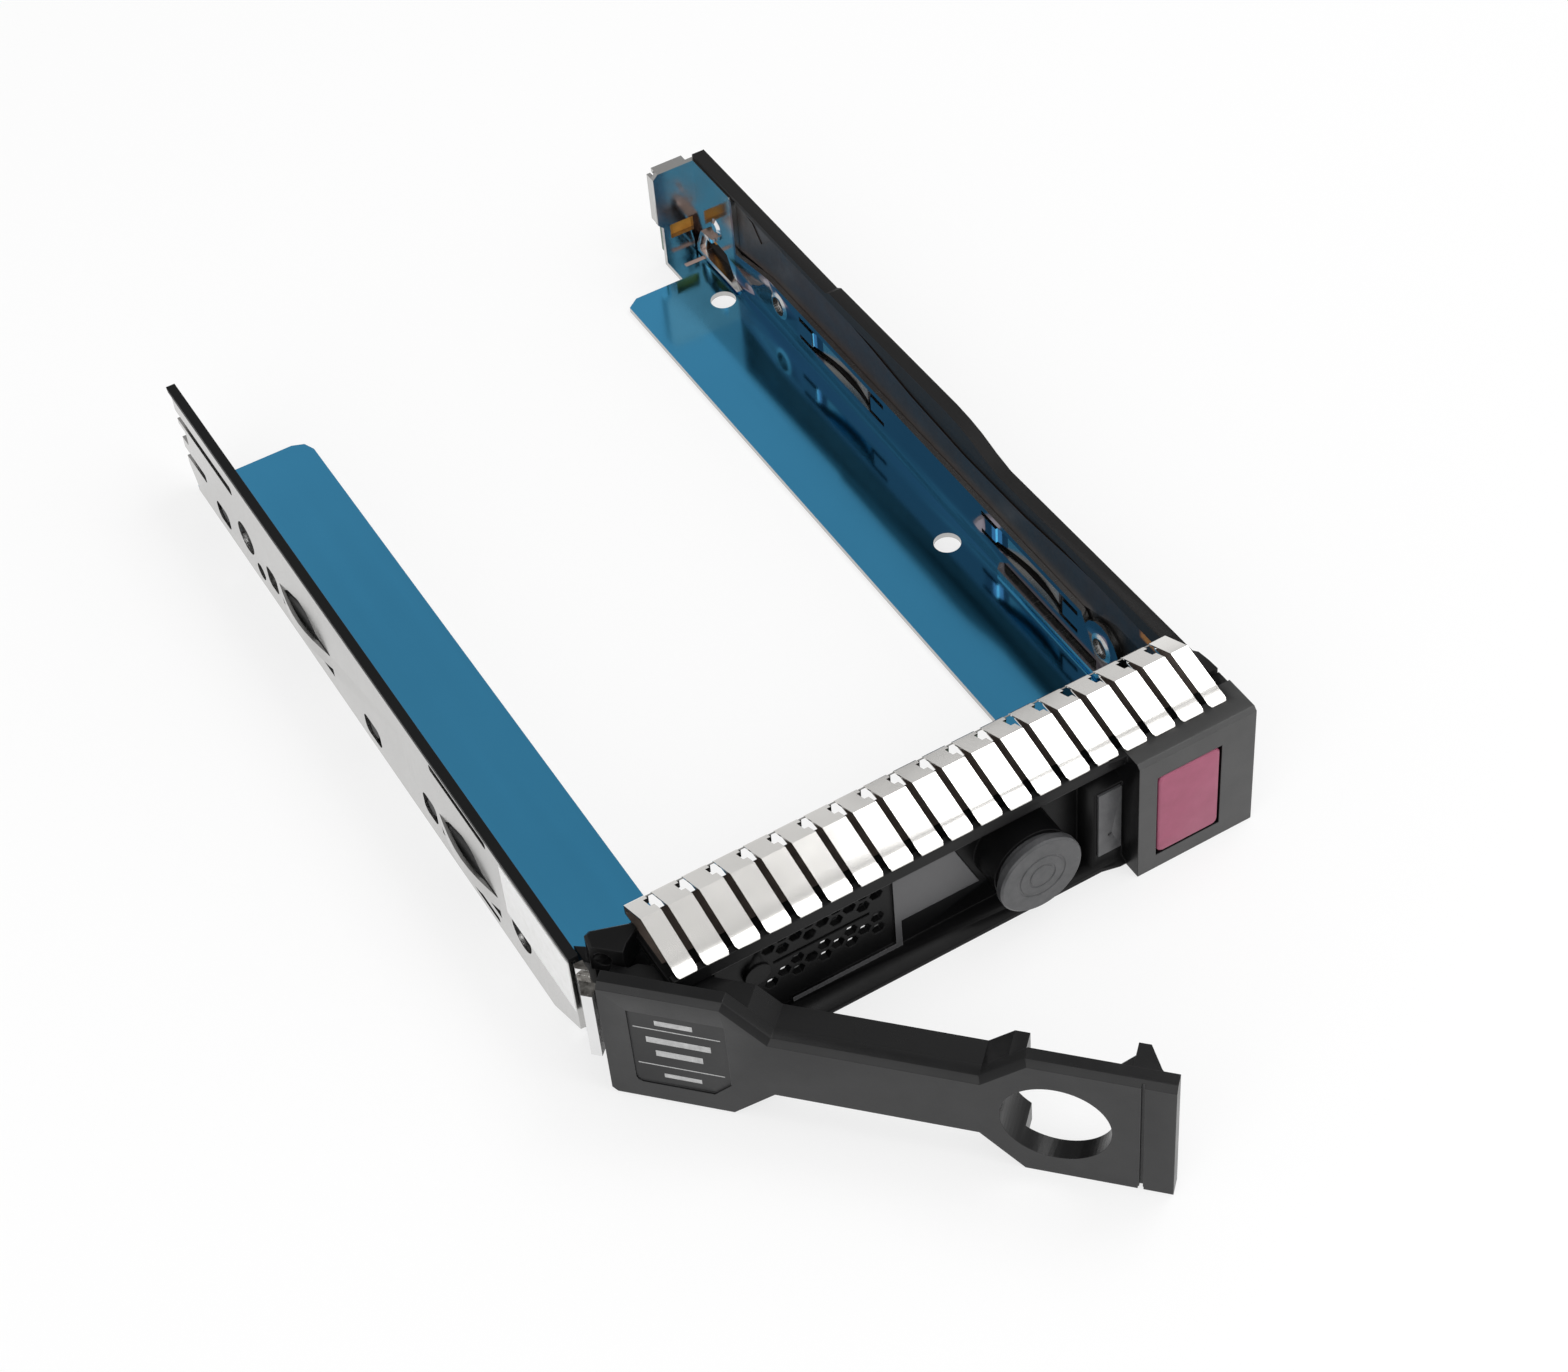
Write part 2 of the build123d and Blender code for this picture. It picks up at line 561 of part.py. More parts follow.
def make_bezel():
    zt = roof_z
    yb = back_wall + back_t
    parts = block(lip_left, bezel_right, lip_front, bezel_depth, zt, seat_z)
    parts += block(lip_left, block_left + 1, lip_front, lip_front + lip_t, zt, lip_top)
    corner_r = pivot_y - plate_t - clear
    parts += block(floor_left, block_left + 1, lip_front, yb, 0, floor_t)
    apron = block(pivot_x - 4.4, floor_left + 0.1, lip_front, tongue_front - 0.2, 0, floor_t + 0.35)
    apron &= rod_z(-1, 3, pivot_x, pivot_y, corner_r) + block(pivot_x, floor_left + 1, 0, 20, -1, 3) \
        + block(pivot_x - 9, pivot_x, pivot_y + 0.5, 20, -1, 3)
    parts += apron
    # Back wall of the handle bay, with its raised pads
    px = block_left - 38.26
    parts += block(floor_left, block_left + 1, back_wall, yb, 0, zt)
    parts += prism_y([(px, 6.8), (px + 14.9, 6.8), (px + 10.6, 17.0), (px + 9.0, zt), (px, zt)],
                     back_wall - 0.45, back_wall)
    parts += block(px, px + 1.1, back_wall - 0.45, back_wall, floor_t, 6.9)
    parts += block(px - 18.0, px + 1.1, back_wall - 0.45, back_wall, floor_t, floor_t + 1.0)
    parts += rod_y(back_wall - 0.8, back_wall, pivot_x + 11.67, slit_z, 2.2)
    # Left rear wall, shoulder beside the liner and stop ear
    left = bay_left + 1.25
    parts += block(left, floor_left + 1.2, bezel_depth - 2.1, bezel_depth, sheet + 0.05, zt)
    parts += block(floor_left, floor_left + 1.2, back_wall, bezel_depth, sheet + 0.05, zt)
    parts += prism_z([(bay_left + 0.45, bezel_depth - 0.2), (bay_left + 0.45, bezel_depth + 3.2),
                      (bay_left + 1.75, bezel_depth + 2.2), (bay_left + 3.4, bezel_depth),
                      (bay_left + 3.4, bezel_depth - 1.4), (left, bezel_depth - 1.4)],
                     sheet + 0.05, left_wall_top)
    parts += make_ear()
    # Ribs behind the bay
    for part in (0.225, 0.42, 0.615):
        x = floor_left + bay_span * part
        parts += block(x, x + 1.3, yb, bezel_depth, 0, zt)
    parts += block(floor_left + 1, block_left + 1, bezel_depth - 1.6, bezel_depth, 0, 3.0)
    # Funnel between the lip and the block
    for z0, z1 in ((zt + 1.2, lip_top), (0, 0.8)):
        parts += prism_z([(block_left + 1, plate_t + clear), (block_left + 1, lip_front + 0.5),
                          (block_left - 4.0, lip_front + 0.5), (block_left - 4.0, lip_front),
                          (block_left - 1.0, plate_t + clear)], z0, z1)
    parts += make_block()
    # Screw bosses, spring column and tongue recess
    for x in left_spots() + right_spots():
        parts += rod_z(sheet + 0.05, 8.0, x, screw_y, boss_r)
        parts -= rod_z(-1, sheet + screw_len, x, screw_y, screw_r + pin_fit)
    column = catch_front + catch_depth + 0.8
    parts += block(button_x - 2.4, button_x + 2.5, column, column + 1.5, sheet + 0.05, zt)
    parts -= block(floor_left - 0.1, floor_left + 1.3, tongue_front - 0.5, bezel_depth + 1, -1, sheet + 0.05)
    # Opening for the hook and the catch, lens bores and window frame
    parts -= block(block_left - 8.66, block_left + 2, back_wall - 1, yb + 0.001, hook_z - clear, box_top + clear)
    parts -= block(block_left - 1, block_left + block_wall + 1, catch_front - clear,
                   catch_front + catch_depth + clear, catch_bottom - clear, catch_bottom + catch_h + clear)
    parts += rod_y(3.0, back_wall, disc_x, disc_z, stem_r + 0.7)
    parts -= rod_y(2.0, yb + 1, disc_x, disc_z, stem_r + 0.06)
    w1 = window_left + window_width
    top = window_bottom + window_height
    parts += block(window_left - 0.8, block_left + 0.5, window_front + 0.4, back_wall + 0.1, floor_t - 0.1,
                   top + 0.5)
    parts -= block(window_left - fit, w1 + fit, window_front - 1, yb + 1, window_bottom - fit, top + fit)
    # Hinge pin holes
    parts -= rod_z(-1, floor_t + 2, pivot_x, pivot_y, pin_r + pin_fit)
    parts -= rod_z(zt - 1, seat_z + 1, pivot_x, pivot_y, pin_r + pin_fit)
    # Honeycomb vent and slit
    step = vent_pitch * math.cos(math.pi / 6)
    hexagon = RegularPolygon(vent_cell / math.sqrt(3), 6)
    for c in range(9):
        for r in range(6):
            x = pivot_x + 14.07 + c * step
            z = slit_z - 4.4 + r * vent_pitch + (c % 2) * vent_pitch / 2
            near_slit = abs(z - slit_z) < 1.5 or z > zt - 4.0
            if near_slit or math.hypot(x - pivot_x - 11.67, z - slit_z) < 3.4:
                continue
            cell = Plane(origin=(x, yb + 1, z), x_dir=(1, 0, 0), z_dir=(0, -1, 0)) * hexagon
            parts -= extrude(cell, back_t + 2)
    parts -= block(pivot_x + 14.67, pivot_x + 31.07, back_wall - 1, yb + 1, slit_z - slit_h / 2,
                   slit_z + slit_h / 2)
    # Stakes that hold the finger strip, and posts for the board
    for x in stake_spots():
        parts += rod_z(seat_z, seat_z + 0.8, x, 12.6, 1.0)
    for x, z in ((disc_x - 5.4, disc_z + 7.3), (disc_x + 9.4, disc_z + 6.1)):
        parts += rod_y(yb, board_front, x, z, 1.0)
    return parts


# Finger strip
def make_emi_spring():
    y_back = tail_y
    line = Polyline((8.6, strip_base), (y_back - 0.15, strip_base), (y_back, strip_base + 0.15),
                    (y_back, tail_z - 0.1), (y_back - 0.15, tail_z), (crest_y, crest_z), (tip_y + 0.6, tip_z + 0.15),
                    (tip_y + 0.13, tip_z))
    profile = trace(line, finger_t)
    strip = extrude(Plane.YZ.offset(strip_left) * profile, strip_right - strip_left)
    half = finger_gap / 2
    for x in gap_spots():
        strip -= block(x - half, x + half, 0, y_back + 1, tail_z - 0.25, crest_z + 1)
        strip -= block(x - half, x + half, bezel_depth - 1.0, y_back - finger_t / 2, seat_z - 1, tail_z)
        strip -= block(x - half - 0.7, x, tail_y - 3.4, tail_y - 1.1, tail_z - 0.25, crest_z)
        strip -= block(x, x + half + 1.0, tail_y - 2.1, tail_y + 1, seat_z - 1, tail_z - 0.3)
    # Rounded finger tips
    ends = [strip_left] + gap_spots() + [strip_right]
    r = tip_round
    for i in range(len(ends) - 1):
        x0 = ends[i] + (half if i else 0)
        x1 = ends[i + 1] - (half if i < len(ends) - 2 else 0)
        y0 = tip_y - 0.2
        for x, side in ((x0, 1), (x1, -1)):
            strip -= prism_z([(x - side * 0.1, y0), (x + side * r, y0), (x + side * r, y0 + 0.2),
                              (x + side * r * 0.3, y0 + 0.2 + r * 0.3), (x, y0 + 0.2 + r),
                              (x - side * 0.1, y0 + 0.2 + r)], tip_z - 1, tip_z + 1)
    for x in stake_spots():
        strip -= rod_z(seat_z - 1, seat_z + 1.2, x, 12.6, 1.0 + pin_fit)
    return strip


# Handle, drawn closed and then opened
def handle_outline(grow):
    s0 = handle_left
    e = handle_len
    return [(s0 - grow + 0.8, 0.3 - grow), (s0 + 18.5, 0.3 - grow),
            (s0 + neck_start, neck_bottom - grow), (s0 + neck_end, neck_bottom - grow),
            (s0 + neck_end + neck_slope, -grow), (s0 + e + grow, -grow), (s0 + e + grow, body_h - 0.3 + grow),
            (s0 + neck_end + neck_slope, body_h - 0.3 + grow), (s0 + neck_end, neck_top + grow),
            (s0 + neck_start, neck_top + grow), (s0 + 18.4, body_h + grow), (s0 - grow, body_h + grow),
            (s0 - grow, 1.1 - grow)]


def make_handle():
    s0 = handle_left
    plate = prism_y(handle_outline(0), 0, plate_t)
    tops = plate.edges().filter_by(lambda e: abs(e.center().Y) < 0.01 and e.center().Z > neck_top * 0.85)
    plate = chamfer(tops, edge_bevel)
    limit = block(s0 + 0.3, s0 + box_end_s, 0, box_depth, box_bottom, box_top)
    limit -= prism_z([(s0 - 1, end_depth), (s0 + 2.8, end_depth), (s0 + 3.9, box_depth), (s0 + 3.9, box_depth + 1),
                      (s0 - 1, box_depth + 1)], -1, body_h)
    box = prism_y(handle_outline(-0.25), plate_t - 0.1, box_depth) & limit
    inner_limit = block(s0 + 0.3 + skin, s0 + box_end_s - skin, 0, box_depth + 1, box_bottom + skin, box_top - skin)
    inner = prism_y(handle_outline(-0.25 - skin), plate_t, box_depth + 1) & inner_limit
    box -= inner
    hx, hz = s0 + finger_hole_s, finger_hole_z
    box += rod_y(plate_t - 0.1, box_depth, hx, hz, finger_hole_r + skin) & limit
    box += block(s0 + box_end_s - 0.1, s0 + groove_s - 0.3, plate_t - 0.1, ring_t, box_bottom, box_top)
    body = plate + box
    # Hinge knuckles
    for z0, z1 in ((box_bottom, box_bottom + knuckle_h), (box_top - knuckle_h, box_top)):
        body += rod_z(z0, z1, pivot_x, pivot_y, knuckle_r)
        body += block(pivot_x - knuckle_r, pivot_x + knuckle_r, plate_t, pivot_y, z0, z1)
    # Hook and its gusset
    g = s0 + groove_s
    body += prism_z([(g - 2.0, plate_t - 0.2), (g - 2.0, 8.8), (g - 0.2, 8.8), (g + 2.0, 5.0),
                     (g + 4.3, plate_t), (g + 4.3, plate_t - 0.2)], hook_z, box_top)
    body += prism_z([(g - 6.0, ring_t - 0.2), (g - 1.9, 7.4), (g - 1.9, ring_t - 0.2)], hook_z + 0.8, hook_z + 2.0)
    body -= rod_y(-1, box_depth + 2, hx, hz, finger_hole_r)
    body -= rod_z(0, box_top + 1, pivot_x, pivot_y, pin_r + pin_fit)
    # Groove, notch and label recess
    body -= block(g, g + 0.5, -1, 0.5, -1, body_h + 1)
    body -= block(g - 0.2, g + 0.6, -1, plate_t + 1, -1, 0.6)
    body -= prism_y([(s0 + 4.1, body_h - 4.7), (s0 + 4.1, 4.9), (s0 + 4.4, 4.2), (s0 + 5.1, 3.9),
                     (s0 + 15.8, 3.9), (s0 + 18.5, 6.8), (s0 + 18.5, body_h - 4.7)], -1, 0.3)
    # Slot and seats for the claw
    body -= block(s0 - 1, s0 + 2.4, plate_t, plate_t + claw_t + fit, claw_bottom - fit, claw_arm_top + fit)
    for z in (rivet_z, claw_arm_top - 2.6):
        body -= rod_y(1.6, plate_t + 1, s0 + 3.6, z, rivet_r + pin_fit)
    return opened(body)


def make_claw():
    s0 = handle_left
    outline = [(-2.6, 0.5), (-0.9, 0.5), (-0.9, plate_t), (5.2, plate_t), (5.2, plate_t + claw_t),
               (-1.9, plate_t + claw_t), (-4.3, 6.6), (-5.3, 5.6), (-3.3, 2.2), (-2.9, 1.3)]
    claw = prism_z([(s0 + s, d) for s, d in outline], claw_bottom, claw_top)
    claw -= block(s0 - 0.5, s0 + 6, 0, 8, claw_arm_top, claw_top + 1)
    # Rolled lip at the front and rounded nose at the back, with a dip between them
    dip = prism_z([(s0 - 6, 4.9), (s0 - 6, 3.0), (s0, 3.0), (s0, 4.9)], claw_top - 1.3, claw_top + 1)
    claw -= dip
    for z in (rivet_z, claw_arm_top - 2.6):
        claw -= rod_y(plate_t - 1, plate_t + 3, s0 + 3.6, z, rivet_r + pin_fit)
    return opened(claw)


def make_claw_rivets():
    s0 = handle_left
    rivets = []
    for z in (rivet_z, claw_arm_top - 2.6):
        pin = rod_y(1.6, plate_t + claw_t, s0 + 3.6, z, rivet_r)
        head = rod_y(plate_t + claw_t, plate_t + claw_t + 0.6, s0 + 3.6, z, rivet_r + 0.7)
        rivets.append(opened(pin + head))
    return Compound(children=rivets)


def make_pin():
    pin = rod_z(0.2, seat_z - 0.1, pivot_x, pivot_y, pin_r)
    return chamfer(pin.edges().filter_by(GeomType.CIRCLE), 0.25)


def make_handle_spring():
    z0 = box_bottom + knuckle_h + wire_r + 0.1
    turns = 4 - open_angle / 360
    height = turns * 2.6 * wire_r
    r = pin_r + wire_r + 0.2
    body = Pos(pivot_x, pivot_y, z0) * coil(r, height, turns, wire_r)
    body += rod_y(pivot_y, screw_y - boss_r + 0.2, pivot_x + r, z0, wire_r)
    body += opened(rod_y(plate_t + 0.1, pivot_y, pivot_x + r, z0 + height, wire_r))
    return body


# Lenses and electronics
def make_disc():
    lens = rod_y(disc_front, disc_front + disc_t, disc_x, disc_z, disc_r)
    edge = lens.edges().filter_by(GeomType.CIRCLE).sort_by(Axis.Y)[0]
    lens = chamfer(edge, 0.3)
    lens += rod_y(disc_front + disc_t, board_front - 1.2, disc_x, disc_z, stem_r)
    for r in (2.2, 4.0):
        ring = rod_y(disc_front - 1, disc_front + 0.12, disc_x, disc_z, r + 0.2)
        lens -= ring - rod_y(disc_front - 2, disc_front + 1, disc_x, disc_z, r - 0.2)
    return lens


def make_window():
    w1 = window_left + window_width
    top = window_bottom + window_height
    pane = block(window_left, w1, window_front, window_front + 1.6, window_bottom, top)
    pane += block(window_left + 0.8, w1 - 0.8, window_front + 1.5, board_front - 1.2, window_bottom + 1, top - 1)
    pane -= rod_y(window_front - 1, window_front + 0.3, window_left + window_width / 2, window_bottom + 4.2, 0.35)
    return pane


def make_board():
    return block(board_left, board_right, board_front, board_front + board_t, 3.1, disc_z + 8.1)


def make_leds():
    leds = []
    y0 = board_front - 0.9
    for i in range(4):
        a = math.radians(45 + 90 * i)
        x, z = disc_x + 3.6 * math.cos(a), disc_z + 3.6 * math.sin(a)
        leds.append(block(x - 0.8, x + 0.8, y0, board_front, z - 0.5, z + 0.5))
    for z in (window_bottom + 3.5, window_bottom + 10.5):
        x = window_left + window_width / 2
        leds.append(block(x - 0.8, x + 0.8, y0, board_front, z - 0.5, z + 0.5))
    return Compound(children=leds)


def make_screws():
    screws = []
    for x in left_spots() + right_spots():
        body = rod_z(0.7, sheet + screw_len - 0.3, x, screw_y, screw_r)
        head = Pos(x, screw_y, 0.35) * Cone(screw_head, screw_r, 0.7)
        screw = body + head
        screw -= block(x - 1.3, x + 1.3, screw_y - 0.25, screw_y + 0.25, -0.1, 0.35)
        screw -= block(x - 0.25, x + 0.25, screw_y - 1.3, screw_y + 1.3, -0.1, 0.35)
        screws.append(screw)
    return Compound(children=screws)


# Button and catch
def make_button():
    x0, x1 = button_left, button_left + button_width
    z0, z1 = button_bottom, button_bottom + button_height
    cap = block(x0, x1, -0.1, button_depth, z0, z1)
    cap = fillet(cap.edges().filter_by(Axis.Y), 1.1)
    cap = chamfer(cap.faces().sort_by(Axis.Y)[0].edges(), 0.3)
    button = cap + block(x0 - 0.9, x1 + 0.9, front_wall + 0.2, front_wall + 1.2, z0 + 1.5, z1 - 1.5)
    cz = (z0 + z1) / 2
    button -= rod_y(front_wall + 1.6, button_depth + 1, button_x, cz, button_spring_r + wire_r + 0.4)
    wedge_end = catch_front + 0.7
    wx = block_left + 2.34
    button += prism_z([(wx, button_depth - 0.6), (wx + 4.2, button_depth - 0.6), (wx + 4.2, wedge_end - 3.2),
                       (wx + 1.0, wedge_end), (wx, wedge_end)], catch_bottom - 4.7, catch_bottom - 0.5)
    return button


def make_button_spring():
    cz = button_bottom + button_height / 2
    y0 = front_wall + 1.6 + wire_r + 0.02
    length = catch_front + catch_depth + 0.8 - wire_r - 0.02 - y0
    return Pos(button_x, y0, cz) * Rot(-90, 0, 0) * coil(button_spring_r, length, 5, wire_r)


def make_catch():
    y0, y1 = catch_front, catch_front + catch_depth
    z0, z1 = catch_bottom, catch_bottom + catch_h
    bar = block(catch_left, catch_right, y0, y1, z0, z1)
    nose = prism_z([(catch_left, y0 + 0.1), (catch_left, 7.6), (catch_left + 0.7, 6.9), (catch_left + 2.2, 6.9),
                    (catch_left + 2.2, y0 + 0.1)], z0, z1)
    top = y0 + 0.7
    tx = block_left + 3.74
    tab = prism_z([(tx + 1.8, top - 1.8), (tx, top), (tx, y1), (tx + 4.6, y1), (tx + 4.6, top - 1.8)],
                  z0 - 4.7, z0)
    body = bar + nose + tab
    body -= rod_x(catch_right - 1.6, catch_right + 1, (y0 + y1) / 2, (z0 + z1) / 2, 0.55)
    return body


def make_catch_spring():
    y = catch_front + catch_depth / 2
    z = catch_bottom + catch_h / 2
    x0 = catch_right + wire_r + 0.02
    x1 = bezel_right - 1.3 - wire_r - 0.02
    return Pos(x0, y, z) * Rot(0, 90, 0) * coil(0.85, x1 - x0, 4, wire_r * 0.8)


os.makedirs("parts", exist_ok=True)
save("left_rail", make_left_rail())
save("left_rail_liner", make_left_liner())
save("rail_label", make_label())
save("right_rail", make_right_rail())
save("right_rail_cover", make_cover())
save("flex_circuit", make_flex())
save("contact_board", make_contact_board())
save("contact_pads", make_pads())
save("cover_rivets", make_cover_rivets())
save("front_bezel", make_bezel())
save("emi_spring", make_emi_spring())
save("handle", make_handle())
save("handle_claw", make_claw())
save("claw_rivets", make_claw_rivets())
save("handle_pin", make_pin())
save("handle_spring", make_handle_spring())
save("ring_lens", make_disc())
save("status_window", make_window())
save("led_board", make_board())
save("board_leds", make_leds())
save("rail_screws", make_screws())
save("release_button", make_button())
save("button_spring", make_button_spring())
save("latch_catch", make_catch())
save("catch_spring", make_catch_spring())
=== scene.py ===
import math

import bmesh
import bpy
from mathutils import Matrix, Vector


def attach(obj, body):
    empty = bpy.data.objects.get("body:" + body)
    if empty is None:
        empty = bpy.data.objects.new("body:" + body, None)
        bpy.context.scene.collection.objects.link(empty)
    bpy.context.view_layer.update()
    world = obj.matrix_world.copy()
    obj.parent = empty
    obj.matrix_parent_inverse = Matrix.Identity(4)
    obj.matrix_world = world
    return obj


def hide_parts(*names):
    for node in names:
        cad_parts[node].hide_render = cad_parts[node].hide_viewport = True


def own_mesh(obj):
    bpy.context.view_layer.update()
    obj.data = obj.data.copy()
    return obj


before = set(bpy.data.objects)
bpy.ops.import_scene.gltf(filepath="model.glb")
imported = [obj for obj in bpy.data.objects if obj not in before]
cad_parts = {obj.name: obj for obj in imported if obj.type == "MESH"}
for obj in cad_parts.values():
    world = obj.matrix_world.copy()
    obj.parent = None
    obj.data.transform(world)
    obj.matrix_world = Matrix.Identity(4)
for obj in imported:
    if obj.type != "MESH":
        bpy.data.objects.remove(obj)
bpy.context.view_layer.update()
scene = bpy.context.scene
MM = 0.001

# Handle: its left end and its pin when closed, in mm, and how far it stands open, in degrees
HANDLE_LEFT = -50.74
PIVOT = (-41.07, 8.5)
OPEN_ANGLE = 45.85

# Marks on the handle's plate, in mm: start and end along the handle, low and high
RULES = [(4.7, 17.6, 16.75, 16.95), (4.7, 17.6, 8.2, 8.4)]
BARS = [(8.0, 13.6, 17.9, 19.0), (6.4, 16.0, 13.6, 14.9), (7.6, 14.6, 10.6, 11.9), (8.4, 14.0, 5.6, 6.5)]
MARK_DEPTHS = (0.27, 0.31)

# Places that tell one finish from the next on a folded or moulded piece, in metres
FLANGE_TOP = (0.0009, 0.0012)
WALL_INSIDE = (0.0505, 0.0516)
WALL_FOOT = 0.0005
FILM_END = 0.1545
TAB_START = 0.16
BAY_PAD = 0.00815
BLOCK_LEFT = 0.03
BLOCK_FRONT = 0.0007
BLOCK_TOP = 0.0249
STRIP_BASE_TOP = 0.0245
COVER_PANEL_Y = (0.1365, 0.157)
COVER_PANEL_Z = (0.0158, 0.0213)
AMBER_FRONT_Y = (0.0235, 0.0275)
AMBER_FRONT_Z = (0.0178, 0.0207)
AMBER_REAR = 0.1595
BEYOND = 1.0

# Curl of the finger tips along the strip's depth, in metres
CURL_START = 0.0082
CURL_END = 0.0036
CURL_DROP = 0.0009

# Softened edges, and edges lighter by wear and painted highlight, in metres, and the share of that lighter
# tone that shows
EDGE_RADIUS = 0.0003
EDGE_WEAR_AND_HIGHLIGHT = 0.3
BEVEL_ANGLE = 28.0
SHARP_ANGLE = 32.0
FLAT_ANGLE = 0.5
WELD = 1e-6

# Camera solved from the photograph
EYE = Vector((-148.4236, -249.9374, 380.1151)) * MM
RIGHT = Vector((0.85143358, -0.52215966, -0.04909319))
DOWN = Vector((-0.40676859, -0.59837729, -0.69027816))
AHEAD = Vector((0.33105916, 0.60769558, -0.72187666))
SENSOR = 36.0
LENS = 73.0646
SHIFT = (-0.050196, -0.042557)

# Stage: floor, the studio's tone from the horizon up, and lamps as place, side and watts
FLOOR_SIDE = 3.0
FLOOR_DROP = 0.0001
FLOOR_GLOW = 0.72
STUDIO = [(0.0, 0.72), (0.3, 0.62), (0.6, 0.5), (0.7, 0.345), (0.8, 0.325), (0.91, 0.62), (1.0, 0.8)]
LAMPS = [("overhead", (0.7, 0.16, 1.2), 0.6, 3.8), ("tips", (0.42, -0.52, 1.15), 0.36, 1.4),
         ("front_left", (-1.0, -0.9, 0.9), 1.5, 11.0), ("front_right", (0.9, -1.0, 0.9), 1.5, 8.0)]
LAMP_AIM = Vector((0.0, 0.05, 0.0))


def make_camera():
    cam = bpy.data.cameras.new("photo_view")
    cam.sensor_fit = "HORIZONTAL"
    cam.sensor_width = SENSOR
    cam.lens = LENS
    cam.shift_x, cam.shift_y = SHIFT
    cam.clip_start = 0.02
    cam.clip_end = 20.0
    obj = bpy.data.objects.new("photo_view", cam)
    rows = Matrix((RIGHT, -DOWN, -AHEAD)).transposed()
    obj.matrix_world = Matrix.Translation(EYE) @ rows.to_4x4()
    scene.collection.objects.link(obj)
    scene.camera = obj


# Shader helpers
def grey(tone):
    return (tone, tone, tone)


def scaled_tone(tone, factor):
    return tuple(min(1.0, c * factor) for c in tone)


def set_stops(ramp, stops):
    while len(ramp.elements) < len(stops):
        ramp.elements.new(0.5)
    for element, (place, color) in zip(ramp.elements, stops):
        element.position = place
        element.color = (grey(color) if isinstance(color, float) else tuple(color)) + (1.0,)


